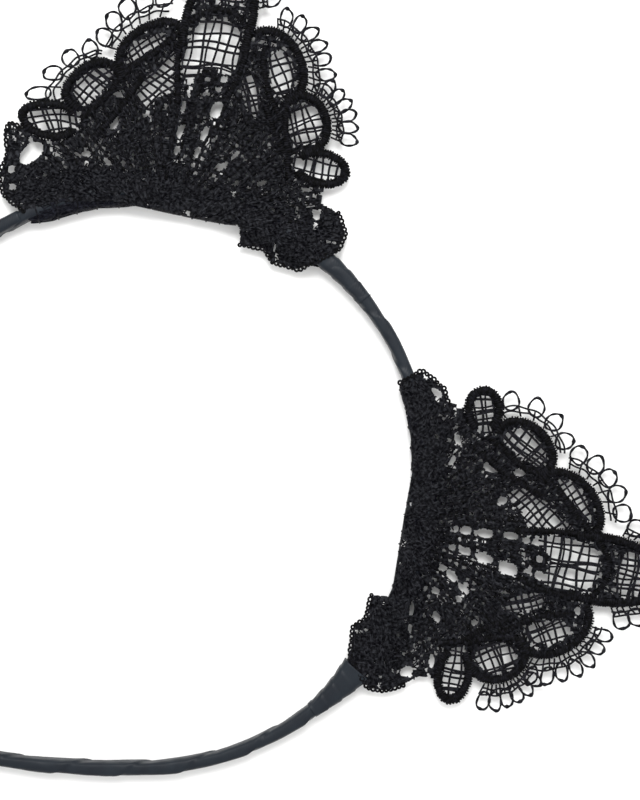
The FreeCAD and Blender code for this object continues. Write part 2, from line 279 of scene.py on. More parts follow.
class Mesh:
    """Collects points and faces, in millimetres, and makes one Blender object of them."""

    def __init__(self):
        self.points, self.quads, self.tris, self.count = [], [], [], 0

    def add(self, points, quads, tris=None):
        """Adds points, and the faces between them."""
        points = points.reshape(-1, 3)
        self.points.append(points)
        self.quads.append(quads.reshape(-1, 4) + self.count)
        if tris is not None:
            self.tris.append(tris.reshape(-1, 3) + self.count)
        self.count += len(points)

    def tubes(self, paths, radius, sides=5, closed=False, height=1.0, reference=UP):
        """Round threads along paths of equal length. height flattens or raises their section."""
        paths = np.asarray(paths, float)
        if paths.ndim == 2:
            paths = paths[None]
        m, n, _ = paths.shape
        if closed:
            ahead = np.roll(paths, -1, 1) - np.roll(paths, 1, 1)
        else:
            ahead = np.gradient(paths, axis=1)
        side = np.cross(ahead, np.broadcast_to(reference, ahead.shape))
        side /= np.linalg.norm(side, axis=2, keepdims=True)
        up = np.cross(side, ahead)
        up /= np.linalg.norm(up, axis=2, keepdims=True)
        turn = np.arange(sides) * FULL_TURN / sides + np.pi / sides
        ring = np.cos(turn)[:, None] * side[:, :, None] + height * np.sin(turn)[:, None] * up[:, :, None]
        radius = np.broadcast_to(radius, (m, n))[:, :, None, None]
        points = (paths[:, :, None] + ring * radius).reshape(-1, 3)
        index = np.arange(m * n * sides).reshape(m, n, sides)
        here, there = (index, np.roll(index, -1, 1)) if closed else (index[:, :-1], index[:, 1:])
        quads = np.stack([here, there, np.roll(there, -1, 2), np.roll(here, -1, 2)], -1)
        if closed:
            self.add(points, quads)
            return
        poles = len(points) + np.arange(2 * m)
        first, last = index[:, 0], index[:, -1]
        start = np.stack([np.repeat(poles[:m, None], sides, 1), first, np.roll(first, -1, 1)], -1)
        end = np.stack([np.repeat(poles[m:, None], sides, 1), np.roll(last, -1, 1), last], -1)
        points = np.concatenate([points, paths[:, 0], paths[:, -1]])
        self.add(points, quads, np.concatenate([start.reshape(-1, 3), end.reshape(-1, 3)]))

    def skin(self, rings):
        """A skin through rings of points, each ring a closed section, with both ends closed."""
        n, sides, _ = rings.shape
        index = np.arange(n * sides).reshape(n, sides)
        ahead = index[1:]
        quads = np.stack([index[:-1], ahead, np.roll(ahead, -1, 1), np.roll(index[:-1], -1, 1)], -1)
        points = np.concatenate([rings.reshape(-1, 3), rings[:1].mean(1), rings[-1:].mean(1)])
        first, last = index[0], index[-1]
        start = np.stack([np.full(sides, n * sides), first, np.roll(first, -1)], -1)
        end = np.stack([np.full(sides, n * sides + 1), np.roll(last, -1), last], -1)
        self.add(points, quads, np.concatenate([start, end]))

    def make(self, name, material):
        """The Blender object, smooth shaded."""
        points = np.concatenate(self.points) * MM
        quads = np.concatenate(self.quads)
        tris = np.concatenate(self.tris) if self.tris else np.zeros((0, 3), int)
        mesh = bpy.data.meshes.new(name)
        mesh.vertices.add(len(points))
        mesh.vertices.foreach_set("co", points.astype(np.float32).ravel())
        corners = np.concatenate([quads.ravel(), tris.ravel()]).astype(np.int32)
        starts = np.concatenate([np.arange(len(quads)) * 4, len(quads) * 4 + np.arange(len(tris)) * 3])
        mesh.loops.add(len(corners))
        mesh.loops.foreach_set("vertex_index", corners)
        mesh.polygons.add(len(starts))
        mesh.polygons.foreach_set("loop_start", starts.astype(np.int32))
        mesh.update(calc_edges=True)
        mesh.validate()
        mesh.polygons.foreach_set("use_smooth", np.full(len(mesh.polygons), True))
        mesh.materials.append(material)
        return add_object(name, mesh)


# ---- noise and outlines

NOISE_CELLS = 64


def noise(u, v, cell, seed):
    """Smooth value noise from 0 to 1, with cells of that many millimetres. It repeats after NOISE_CELLS."""
    table = np.random.default_rng(seed).random((NOISE_CELLS, NOISE_CELLS))
    x, y = np.asarray(u) / cell, np.asarray(v) / cell
    i, j = np.floor(x).astype(int), np.floor(y).astype(int)
    s, t = x - i, y - j
    s, t = s * s * (3 - 2 * s), t * t * (3 - 2 * t)
    i, j, right, above = i % NOISE_CELLS, j % NOISE_CELLS, (i + 1) % NOISE_CELLS, (j + 1) % NOISE_CELLS
    low = table[i, j] * (1 - s) + table[right, j] * s
    high = table[i, above] * (1 - s) + table[right, above] * s
    return low * (1 - t) + high * t


def uneven(height, u, v, cell, seed):
    """Noise about zero, height from its lowest to its highest."""
    return height * (noise(u, v, cell, seed) - 0.5)


def oval_depth(place, u, v):
    """About how far points lie inside an oval, in millimetres; negative outside."""
    cu, cv, length, width, tilt = place[:5]
    turn = math.radians(tilt)
    x = (u - cu) * math.cos(turn) + (v - cv) * math.sin(turn)
    y = (v - cv) * math.cos(turn) - (u - cu) * math.sin(turn)
    near = np.hypot(x / length, y / width) + TINY
    slope = np.hypot(x / length ** 2, y / width ** 2) + TINY
    return near * (1 - near) / slope


def oval_line(place, grow, first=0.0, last=360.0):
    """Points round an oval between two directions, in degrees from its length."""
    cu, cv, length, width, tilt = place[:5]
    whole = last - first == 360.0
    turn = np.radians(np.linspace(first, last, 96, endpoint=False) if whole else np.linspace(first, last, 97))
    x, y = (length + grow) * np.cos(turn), (width + grow) * np.sin(turn)
    lean = math.radians(tilt)
    return np.stack([cu + x * math.cos(lean) - y * math.sin(lean),
                     cv + x * math.sin(lean) + y * math.cos(lean)], -1)


def smooth_line(points, closed=False, steps=8):
    """A smooth curve through a few points (Catmull-Rom)."""
    points = np.array(points, float)
    if closed:
        before, after, far = np.roll(points, 1, 0), np.roll(points, -1, 0), np.roll(points, -2, 0)
    else:
        ends = np.concatenate([2 * points[:1] - points[1:2], points, 2 * points[-1:] - points[-2:-1]])
        before, points, after, far = ends[:-3], ends[1:-2], ends[2:-1], ends[3:]
    t = (np.arange(steps) / steps)[None, :, None]
    b, p, a, f = (x[:, None] for x in (before, points, after, far))
    bend, twist = 2 * b - 5 * p + 4 * a - f, 3 * p - b - 3 * a + f
    line = 0.5 * (2 * p + (a - b) * t + bend * t ** 2 + twist * t ** 3)
    line = line.reshape(-1, 2)
    return line if closed else np.concatenate([line, after[-1:]])


def polygon_depth(corners, u, v):
    """How far points lie inside a polygon, in millimetres; negative outside."""
    corners = np.array(corners, float)
    near = np.full(np.shape(u), np.inf)
    inside = np.zeros(np.shape(u), bool)
    for (au, av), (bu, bv) in zip(corners, np.roll(corners, -1, 0)):
        du, dv = bu - au, bv - av
        share = np.clip(((u - au) * du + (v - av) * dv) / (du * du + dv * dv), 0, 1)
        near = np.minimum(near, np.hypot(u - au - share * du, v - av - share * dv))
        crosses = ((av > v) != (bv > v)) & (u < du * (v - av) / (dv if dv else TINY) + au)
        inside ^= crosses
    return np.where(inside, near, -near)


WINDOW_LINES = {name: smooth_line(points, closed=True) for name, (_, _, points) in WINDOWS.items()}


def whole_depth(ear, u, v):
    """Depth inside the lace's outer outline, with its windows and slots filled."""
    depth = np.maximum(polygon_depth(FAN, u, v), polygon_depth(ear.foot, u, v))
    for place in PETALS.values():
        depth = np.maximum(depth, oval_depth(place, u, v) - PETAL_INSET)
    return depth


def cloth_depth(ear, u, v):
    """Depth inside the dense clothwork: negative outside it and in its windows and slots."""
    depth = whole_depth(ear, u, v)
    for line in WINDOW_LINES.values():
        depth = np.minimum(depth, -polygon_depth(line, u, v))
    for place in SLOTS:
        depth = np.minimum(depth, SLOT_CLOSING[ear.side] - oval_depth(place, u, v))
    for place in TAIL_HOLES[ear.side]:
        depth = np.minimum(depth, -oval_depth(place, u, v))
    return depth


# The open work: small holes in rows between the fan's ribs, and specks all over.
WIDE_ROWS = 5.6  # degrees between the rows near the focus
NARROW_ROWS = 2.8  # and further out
NARROW_FROM = 21.0  # reach from the focus where they change
HOLE_PITCH = 1.7  # along a row, and each row is shifted from the last one
ROW_SHIFT = 2.4
HOLE_SIZES = (0.45, 0.9)  # the least, and what chance adds
LOOSENESS = (0.35, 0.65)  # the same for how open a region is
OPEN_WORK = (65.0, 4.0)  # where along v the holes begin, and over how far
ROW_THREADS = {"left": 0.40, "right": 0.37}
SPECK_THREADS = 0.84
DEPTH_SCALE = 1.6  # roughly turns the sums below to millimetres


def openwork_depth(ear, u, v):
    """Depth of the threads between the small holes of the open work."""
    du, dv = u - FAN_FOCUS[0], v - FAN_FOCUS[1]
    reach, angle = np.hypot(du, dv), np.degrees(np.arctan2(du, dv))
    pitch = np.where(reach < NARROW_FROM, WIDE_ROWS, NARROW_ROWS)
    row = np.floor(angle / pitch)
    along = np.sin(np.pi * reach / HOLE_PITCH + row * ROW_SHIFT)
    cell = np.sin(np.pi * angle / pitch) ** 2 * along ** 2
    size = HOLE_SIZES[0] + HOLE_SIZES[1] * noise(u, v, 1.9, seed=3 if ear.side == "left" else 5)
    loose = LOOSENESS[0] + LOOSENESS[1] * noise(u, v, 6.0, seed=11)
    rows = ROW_THREADS[ear.side] - cell * size * loose * ease((v - OPEN_WORK[0]) / OPEN_WORK[1])
    specks = SPECK_THREADS - noise(u, v * 0.8, 0.8, seed=23)
    return np.minimum(rows, specks) * DEPTH_SCALE


class DepthMap:
    """cloth_depth worked out once on a fine grid, then looked up."""

    STEP = 0.15
    U_RANGE, V_RANGE = (-42, 40), (51, 122)

    def __init__(self, ear):
        self.u, self.v = np.arange(*self.U_RANGE, self.STEP), np.arange(*self.V_RANGE, self.STEP)
        self.depth = cloth_depth(ear, *np.meshgrid(self.u, self.v, indexing="ij"))

    def __call__(self, u, v):
        x = np.clip((np.asarray(u) - self.u[0]) / self.STEP, 0, len(self.u) - 1.001)
        y = np.clip((np.asarray(v) - self.v[0]) / self.STEP, 0, len(self.v) - 1.001)
        i, j = x.astype(int), y.astype(int)
        s, t, d = x - i, y - j, self.depth
        return ((d[i, j] * (1 - s) + d[i + 1, j] * s) * (1 - t)
                + (d[i, j + 1] * (1 - s) + d[i + 1, j + 1] * s) * t)


def resample(line, step, closed=False):
    """Points about step millimetres apart on a line, and how far along it they are."""
    if closed:
        line = np.concatenate([line, line[:1]])
    run = run_along(line)
    count = max(4, round(run[-1] / step) + 1)
    wanted = np.linspace(0, run[-1], count)
    points = np.stack([np.interp(wanted, run, line[:, k]) for k in range(line.shape[1])], -1)
    return (points[:-1], wanted[:-1]) if closed else (points, wanted)


def inside_runs(line, keep):
    """The stretches of a line where keep holds, four points or more."""
    edges = np.flatnonzero(np.diff(np.concatenate([[0], keep.astype(int), [0]])))
    return [line[a:b] for a, b in zip(edges[::2], edges[1::2]) if b - a >= 4]


# ---- materials

class Look:
    """A material with one shader, and the patterns that vary it."""

    def __init__(self, name, **levels):
        self.material = bpy.data.materials.new(name)
        self.material.use_nodes = True
        self.tree = self.material.node_tree
        self.tree.nodes.clear()
        output = self.tree.nodes.new("ShaderNodeOutputMaterial")
        self.shader = self.tree.nodes.new("ShaderNodeBsdfPrincipled")
        self.tree.links.new(self.shader.outputs["BSDF"], output.inputs["Surface"])
        self.coordinates = self.tree.nodes.new("ShaderNodeTexCoord").outputs["Object"]
        for level, value in levels.items():
            self.shader.inputs[level.replace("_", " ")].default_value = value

    def pattern(self, kind, **values):
        """The strength of a procedural pattern at each place."""
        node = self.tree.nodes.new(kind)
        for name, value in values.items():
            node.inputs[name].default_value = value
        self.tree.links.new(self.coordinates, node.inputs["Vector"])
        return node.outputs["Fac"]

    def noise(self, scale, detail=3.0):
        """Cloudy patches, finer with a larger scale."""
        return self.pattern("ShaderNodeTexNoise", Scale=scale, Detail=detail)

    def vary(self, socket, strength, low, high):
        """Changes a value of the shader with a pattern, between two places on its ramp and their colours."""
        node = self.tree.nodes.new("ShaderNodeValToRGB")
        for element, (place, colour) in zip(node.color_ramp.elements, (low, high)):
            element.position = place
            element.color = (*colour, 1.0)
        self.tree.links.new(strength, node.inputs["Fac"])
        self.tree.links.new(node.outputs["Color"], self.shader.inputs[socket])

    def vary_roughness(self, scale, low, high):
        """Makes patches rougher and smoother."""
        self.vary("Roughness", self.noise(scale), (0.3, (low,) * 3), (0.7, (high,) * 3))

    def bump(self, height, distance, strength):
        """Raises the surface a little with a pattern."""
        node = self.tree.nodes.new("ShaderNodeBump")
        node.inputs["Distance"].default_value = distance
        node.inputs["Strength"].default_value = strength
        self.tree.links.new(height, node.inputs["Height"])
        self.tree.links.new(node.outputs["Normal"], self.shader.inputs["Normal"])


def thread_material(name, dark, light, roughness):
    """Twisted embroidery thread: fine fibre grain, and lighter and darker stretches. The darker ones are the
    thread's own near-black tone; the lighter ones are painted highlights, glints of light painted into its
    colour.
    """
    look = Look(name, Specular_IOR_Level=0.05)
    # The light end of this ramp is painted highlight: lighter specks of base colour stand in for glints of
    # light on the thread.
    look.vary("Base Color", look.noise(1500.0), (0.42, dark), (0.7, light))
    look.vary_roughness(1800.0, roughness - 0.1, roughness + 0.1)
    look.bump(look.noise(6500.0, detail=2.0), distance=0.00008, strength=0.5)
    return look.material


def ribbon_material():
    """Satin ribbon: fine weave ribs, soft sheen and faint creases."""
    look = Look("ribbon_satin", Specular_IOR_Level=0.17, Sheen_Weight=0.03, Sheen_Roughness=0.35)
    patches = look.noise(260.0, detail=4.0)
    look.vary("Base Color", patches, (0.3, (0.005, 0.007, 0.011)), (0.75, (0.009, 0.013, 0.018)))
    look.vary_roughness(500.0, 0.42, 0.58)
    weave = look.pattern("ShaderNodeTexWave", Scale=900.0, Distortion=1.5)
    weave.node.bands_direction = "DIAGONAL"
    look.bump(weave, distance=0.00004, strength=0.35)
    return look.material


def steel_material():
    """Brushed spring steel, only seen if the ribbon is taken off."""
    look = Look("strip_steel", Metallic=1.0, Roughness=0.35)
    look.vary("Base Color", look.noise(1200.0), (0.3, (0.42, 0.43, 0.45)), (0.7, (0.6, 0.61, 0.63)))
    return look.material


def floor_material():
    """A plain, nearly white floor."""
    look = Look("floor", Roughness=0.9, Specular_IOR_Level=0.1)
    look.vary("Base Color", look.noise(40.0), (0.3, (0.90, 0.90, 0.89)), (0.7, (0.92, 0.92, 0.915)))
    return look.material


# The second colour of each thread is partly painted highlight, lighter specks standing in for glints of light
# on the thread.
LACE = thread_material("lace_thread", (0.001, 0.001, 0.002), (0.022, 0.023, 0.027), 0.5)
CORD = thread_material("cord_thread", (0.001, 0.001, 0.001), (0.008, 0.008, 0.011), 0.5)
NET = thread_material("net_thread", (0.003, 0.003, 0.004), (0.015, 0.015, 0.019), 0.55)
SEWING = thread_material("sewing_thread", (0.002, 0.002, 0.003), (0.014, 0.014, 0.018), 0.45)
HEM = thread_material("hem_thread", (0.002, 0.002, 0.004), (0.013, 0.014, 0.020), 0.5)
RIBBON = ribbon_material()
STEEL = steel_material()


# ---- the ribbon-wound band

SECTION_SIDES = 36
ROUNDNESS = 0.55  # 1 is a round section, 0 a square one
WRAP_PITCH = 14.0
WRAP_STEP = 0.32  # how far a turn's free edge stands proud
WRAP_EDGE = 0.045  # the share of a turn that its edge takes

FOLD_LENGTH, FOLD_PAST = 8.0, 0.4  # before the winding's end, and past it
FOLD_STEP = (0.5, 0.45)  # how far it stands proud, across and upward
FOLD_SLANT, FOLD_EDGE = 0.9, 0.5  # of its stepped edge, and how long the step is
FOLD_ROUNDING = 1.6  # the length of its rounded end
FOLD_TIP = (0.55, 0.7)  # what the rounding leaves of its width and height

COLLAR_SPAN = (28.0, 40.0)
COLLAR_FLARE = {"left": 0.5, "right": 1.75}
COLLAR_THIN_WALL = 0.12
COLLAR_RISE = (0.35 / 1.9, 0.5)  # shares of its flare and its steps that also go upward
COLLAR_PITCH = 3.4
COLLAR_STEP = 0.22


def squarish(wave):
    """Turns a circle's sine or cosine into a rounded rectangle's."""
    return np.sign(wave) * np.abs(wave) ** ROUNDNESS


def band_grid(start, end, step):
    """Headings along the band, how far along they are, and the turns round its section."""
    headings, run = headings_along(start, end, step)
    return headings, run[:, None], np.arange(SECTION_SIDES) * FULL_TURN / SECTION_SIDES


def wrap_relief(run, turn, pitch, rise, edge, wobble=0.0):
    """How far wound ribbon stands proud: most at a turn's free edge, and then less and less."""
    lead = run / pitch + turn / FULL_TURN + wobble
    step = lead - np.floor(lead)
    return rise * (1 - step) * np.clip(step / edge, 0, 1)


def ribbon_piece(name, headings, turn, half, tall):
    """A closed skin of ribbon, whose section is a rounded rectangle with that half width and half height."""
    across, upward = squarish(np.cos(turn)) * half, squarish(np.sin(turn)) * tall
    rings = hoop_points(headings[:, None], across, MID_Z + upward)
    if headings[-1] < headings[0]:
        rings = rings[:, ::-1]
    mesh = Mesh()
    mesh.skin(rings)
    return mesh.make(name, RIBBON)


def winding(name, start, end, seed):
    """The ribbon, wound in a helix: each turn steps down on to the one before it."""
    headings, run, turn = band_grid(start, end, 0.45)
    wobble = uneven(0.15, run, 0 * turn, 21.0, seed)
    proud = wrap_relief(run, turn, WRAP_PITCH, WRAP_STEP, WRAP_EDGE, wobble)
    crease = uneven(0.10, run + 4 * turn, 6 * turn, 1.7, seed + 1)
    creep = uneven(0.22, run, 0 * turn, 6.0, seed + 2)
    half = BAND_THICKNESS / 2 - WRAP_STEP / 2 + proud + crease + creep
    tall = BAND_WIDTH / 2 - WRAP_STEP / 2 + proud + crease
    return ribbon_piece(name, headings, turn, half, tall)


def tip_fold(side, sign):
    """The end of the ribbon, folded over the tip and glued, with a stepped, slanting edge."""
    low, high = box_mm(f"{side}_tip_fold")
    start = TIP_HEADING - math.degrees(FOLD_LENGTH / END_RADIUS)
    end = TIP_HEADING + math.degrees(FOLD_PAST / END_RADIUS)
    headings, run, turn = band_grid(sign * start, sign * end, 0.3)
    into_end = np.clip(run - FOLD_LENGTH - FOLD_PAST + FOLD_ROUNDING, 0, FOLD_ROUNDING) / FOLD_ROUNDING
    rounding = np.sqrt(np.clip(1 - into_end ** 2, 0.05, 1))
    width, height = [tip + (1 - tip) * rounding for tip in FOLD_TIP]
    edge = np.clip((run - FOLD_SLANT * (1 + np.sin(turn))) / FOLD_EDGE, 0, 1)
    crease = uneven(0.12, run * 1.4, 5 * turn, 1.9, seed=31)
    half = (BAND_THICKNESS / 2 - 0.1 + FOLD_STEP[0] * edge) * width + crease
    tall = ((high[2] - low[2]) / 2 - FOLD_STEP[1] + FOLD_STEP[1] * edge) * height
    return ribbon_piece(f"{side}_ribbon_end", headings, turn, half, tall)


def collar(ear):
    """Turns of ribbon over the lace's end, thick at the lace and thin at the bare band."""
    headings, run, turn = band_grid(*[ear.heading(angle) for angle in COLLAR_SPAN], 0.3)
    flare = COLLAR_FLARE[ear.side] * (1 - run / run[-1]) ** 1.3 + COLLAR_THIN_WALL
    proud = wrap_relief(run, turn, COLLAR_PITCH, COLLAR_STEP, 0.1)
    crease = uneven(0.2, run, 4 * turn, 1.6, seed=41)
    half = BAND_THICKNESS / 2 + flare + proud + crease
    tall = BAND_WIDTH / 2 - 0.1 + COLLAR_RISE[0] * flare + COLLAR_RISE[1] * proud
    return ribbon_piece(f"{ear.side}_ribbon_collar", headings, turn, half, tall)


# ---- the lace's ground

GROUND_STEP = 0.3
GROUND_HALF = 0.17  # half its thickness
GROUND_U, GROUND_V = (-41, 38), (52, 121)
# The four sides of a grid cell: the way to the neighbour, then the side's two corners.
CELL_SIDES = (((-1, 0), (0, 0), (0, 1)), ((1, 0), (1, 1), (1, 0)),
              ((0, -1), (1, 0), (0, 0)), ((0, 1), (0, 1), (1, 1)))


def pull_to_edge(u, v, depth):
    """Moves grid points near the edge of a shape on to it, and tells which points are in the shape."""
    step = u[1, 0] - u[0, 0]
    du, dv = np.gradient(depth, step)
    slope = np.maximum(du * du + dv * dv, 0.25)
    near = np.abs(depth) < 0.5 * step * np.sqrt(slope)
    u = np.where(near, u - depth * du / slope, u)
    v = np.where(near, v - depth * dv / slope, v)
    return u, v, (depth > 0) | near


def grow_sheet(mesh, ear, u, v, depth, bottom, top):
    """A closed sheet over the grid cells that are wholly in the shape where depth is above zero."""
    u, v, solid = pull_to_edge(u, v, depth)
    cell = solid[:-1, :-1] & solid[1:, :-1] & solid[1:, 1:] & solid[:-1, 1:]
    n = u.size
    index = np.arange(n).reshape(u.shape)
    a, b, c, d = index[:-1, :-1][cell], index[1:, :-1][cell], index[1:, 1:][cell], index[:-1, 1:][cell]
    quads = [np.stack([a, b, c, d], -1), np.stack([a, d, c, b], -1) + n]
    full = np.pad(cell, 1)
    rows, columns = full.shape
    for (di, dj), first, second in CELL_SIDES:
        bare = cell & ~full[1 + di:rows - 1 + di, 1 + dj:columns - 1 + dj]
        i, j = np.nonzero(bare)
        p, q = index[i + first[0], j + first[1]], index[i + second[0], j + second[1]]
        quads.append(np.stack([p, q, q + n, p + n], -1))
    line = np.stack([u, v], -1)
    points = np.concatenate([ear.lay(line, top).reshape(-1, 3), ear.lay(line, bottom).reshape(-1, 3)])
    used, compact = np.unique(np.concatenate(quads), return_inverse=True)
    mesh.add(points[used], compact.reshape(-1, 4))


def ground(ear, depth_at):
    """The dense ground of the lace, a thin sheet with its windows, slots and many pinholes."""
    u, v = np.meshgrid(np.arange(*GROUND_U, GROUND_STEP), np.arange(*GROUND_V, GROUND_STEP), indexing="ij")
    depth = np.minimum(depth_at(u, v) - 0.1, openwork_depth(ear, u, v))
    relief = uneven(0.2, u, v, 1.1, seed=17)
    mesh = Mesh()
    grow_sheet(mesh, ear, u, v, depth, -GROUND_HALF, GROUND_HALF + relief)
    return mesh


# ---- the lace's stitches and ribs

STITCH_PITCH = 0.80
STITCH_U, STITCH_V = (-41, 37), (53, 120)
STITCH_HALF_LENGTH = (0.7, 1.3)
STITCH_RADIUS = (0.16, 0.25)
STITCH_HEIGHT = (0.1, 0.5)
STITCH_ARCH, STITCH_CURL = 0.2, 0.16
STITCH_INSET = 0.25  # how deep in the cloth a stitch's middle is, at least
STITCH_POINTS = 6
ALONG_RIBS, ACROSS_RIBS = 0.45, 0.7  # stitches up to the first share lie along the ribs, the next across
STRAYS = 0.2  # the share kept over the holes of the open work

RIB_ANGLE = 6.0  # between neighbours, in degrees
RIB_STARTS = ((12.0, -72.0), (23.0, -69.0))  # reach from the focus, and the first angle
RIB_END, RIB_LAST_ANGLE = 44.0, 74.0
RIB_RADIUS, BEAD_HEIGHT, BEAD_PITCH = 0.30, 0.12, 1.1
RIB_STEP = 0.22
RIB_LIFT = 0.32


def stitch_directions(chance, u, v):
    """Most stitches lie along the fan's ribs, some across them, and the rest anywhere."""
    radial = np.arctan2(v - FAN_FOCUS[1], u - FAN_FOCUS[0])
    kind = chance.random(len(u))
    along = radial + chance.normal(0, 0.2, len(u))
    across = radial + np.pi / 2 + chance.normal(0, 0.25, len(u))
    anywhere = chance.uniform(0, np.pi, len(u))
    return np.where(kind < ALONG_RIBS, along, np.where(kind < ACROSS_RIBS, across, anywhere))


def fill_stitches(ear, depth_at, seed):
    """Short arched stitches, crossing each other all over the dense cloth."""
    chance = np.random.default_rng(seed)
    u, v = np.meshgrid(np.arange(*STITCH_U, STITCH_PITCH), np.arange(*STITCH_V, STITCH_PITCH), indexing="ij")
    u = (u + chance.uniform(-0.5, 0.5, u.shape) * STITCH_PITCH).ravel()
    v = (v + chance.uniform(-0.5, 0.5, v.shape) * STITCH_PITCH).ravel()
    on_thread = (openwork_depth(ear, u, v) > 0.05) | (chance.random(u.shape) < STRAYS)
    kept = (depth_at(u, v) > STITCH_INSET) & on_thread
    u, v = u[kept], v[kept]
    direction = stitch_directions(chance, u, v)
    half = chance.uniform(*STITCH_HALF_LENGTH, len(u))
    share = np.linspace(-1, 1, STITCH_POINTS)
    curl = chance.normal(0, STITCH_CURL, len(u))
    across = curl[:, None] * (1 - share ** 2)
    cos, sin = np.cos(direction)[:, None], np.sin(direction)[:, None]
    along = half[:, None] * share
    line = np.stack([u[:, None] + along * cos - across * sin, v[:, None] + along * sin + across * cos], -1)
    base = chance.uniform(*STITCH_HEIGHT, len(u))[:, None]
    height = base + STITCH_ARCH * (1 - share ** 2) - 0.1
    radius = chance.uniform(*STITCH_RADIUS, len(u))[:, None]
    inside = depth_at(line[..., 0], line[..., 1]).min(1) > -0.05
    mesh = Mesh()
    mesh.tubes(ear.lay(line, height)[inside], radius[inside], sides=4)
    return mesh


def fan_ribs(mesh, ear, depth_at, seed):
    """Raised, beaded ribs that fan out from the foot between the slots."""
    chance = np.random.default_rng(seed)
    for start, first in RIB_STARTS:
        for angle in np.arange(first, RIB_LAST_ANGLE, RIB_ANGLE):
            turn = math.radians(90 - angle + chance.uniform(-0.8, 0.8))
            nearest = start / max(math.cos(math.radians(angle)), 0.45)
            reach = np.arange(nearest, RIB_END, RIB_STEP)
            bow = 0.5 * np.sin(reach / 4.0 + chance.uniform(0, 6))
            line = FAN_FOCUS + np.stack([reach * math.cos(turn) - bow * math.sin(turn),
                                         reach * math.sin(turn) + bow * math.cos(turn)], -1)
            u, v = line[:, 0], line[:, 1]
            keep = (depth_at(u, v) > 0.3) & (polygon_depth(FAN, u, v) > 1.0)
            for run in inside_runs(line, keep):
                along = np.arange(len(run)) * RIB_STEP
                bead = BEAD_HEIGHT * np.sin(along * FULL_TURN / BEAD_PITCH + chance.uniform(0, 6))
                mesh.tubes(ear.lay(run, RIB_LIFT), RIB_RADIUS + bead, sides=6, height=0.9)


PURL_PITCH = 0.95
PURL_SIZES = (0.25, 0.5)
PURL_POINTS = 14
PURL_LIFT, PURL_RADIUS = 0.12, 0.25


def purl_border(mesh, ear, corners, seed):
    """Tiny loops of thread side by side along an outline."""
    chance = np.random.default_rng(seed)
    line, _ = resample(np.array(corners, float), PURL_PITCH)
    turn = np.linspace(0, FULL_TURN, PURL_POINTS, endpoint=False)
    size = chance.uniform(*PURL_SIZES, len(line))[:, None]
    purls = line[:, None] + np.stack([size * np.cos(turn), size * np.sin(turn)], -1)
    mesh.tubes(ear.lay(purls, PURL_LIFT + 0 * turn), PURL_RADIUS, sides=5, closed=True)


# ---- the lace's raised cords

CORD_LIFT = 0.3
WINDING_PITCH = 0.5
POINTS_PER_TURN = 10
WINDING_RADIUS = 0.24
BUMP_PITCH = 1.3
JITTER_EVERY = 5  # points between one random width and the next
CORD_INSET = 1.45  # from a petal's edge
# Half a cord's width, and half its height.
PETAL_CORD = (1.0, 0.5)
BAND_CORD = (0.75, 0.42)
EYE_CORD = (0.55, 0.35)


def cord_jitter(chance, count, closed):
    """Small random changes of a cord's width, eased from one to the next."""
    knots = np.arange(0, count + JITTER_EVERY, JITTER_EVERY)
    jitter = np.interp(np.arange(count), knots, chance.normal(0, 0.07, len(knots)))
    if closed:
        jitter[-JITTER_EVERY:] = jitter[0]
    return jitter


def wound_cord(mesh, ear, line, closed, width, height, seed):
    """A raised band of satin stitch: a flat core, and thread wound over it with a bumpy edge."""
    chance = np.random.default_rng(seed)
    core, _ = resample(line, 0.5, closed)
    core_half = width - 0.25
    flatness = (height - 0.15) / core_half
    mesh.tubes(ear.lay(core, CORD_LIFT), core_half, sides=8, closed=closed, height=flatness)
    length = resample(line, 0.1, closed)[1][-1]
    turns = max(3, round(length / WINDING_PITCH))
    fine, distance = resample(line, length / (turns * POINTS_PER_TURN), closed)
    middle = ear.lay(fine, CORD_LIFT)
    ahead = np.roll(middle, -1, 0) - np.roll(middle, 1, 0) if closed else np.gradient(middle, axis=0)
    ahead /= np.linalg.norm(ahead, axis=1, keepdims=True)
    side = np.cross(ahead, UP)
    laps = np.round(len(fine) / POINTS_PER_TURN)
    turn = np.arange(len(fine)) * FULL_TURN * laps / len(fine)
    jitter = cord_jitter(chance, len(fine), closed)
    bumps = np.abs(np.sin(np.pi * (distance + 0.3 * np.sin(distance * 1.7)) / BUMP_PITCH))
    reach = (width - 0.12) * (0.84 + 0.26 * bumps) + 0.3 * jitter
    tall = (height - 0.1) * (1 + jitter)
    helix = middle + side * (reach * np.cos(turn))[:, None] + UP * (tall * np.sin(turn))[:, None]
    mesh.tubes(helix, WINDING_RADIUS, sides=4, closed=closed, reference=ahead[None])


def raised_cords(ear, seed):
    """The raised outlines of the petals, the narrower bands between the windows, and the eye."""
    mesh = Mesh()
    for i, place in enumerate(PETALS.values()):
        wound_cord(mesh, ear, oval_line(place, -CORD_INSET, *place[5:]), False, *PETAL_CORD, seed + i)
    for i, points in enumerate(INNER_BANDS):
        wound_cord(mesh, ear, smooth_line(points), False, *BAND_CORD, seed + 10 + i)
    wound_cord(mesh, ear, oval_line(EYE, 0.0), True, *EYE_CORD, seed + 30)
    return mesh


# ---- the lace's net

NET_STEP = 0.3
NET_RADIUS = (0.21, 0.31)
NET_BEND = 0.3
NET_WEAVE = 0.09  # how far a thread goes over and under the others
DOUBLED = 0.2  # the share of threads that are doubled


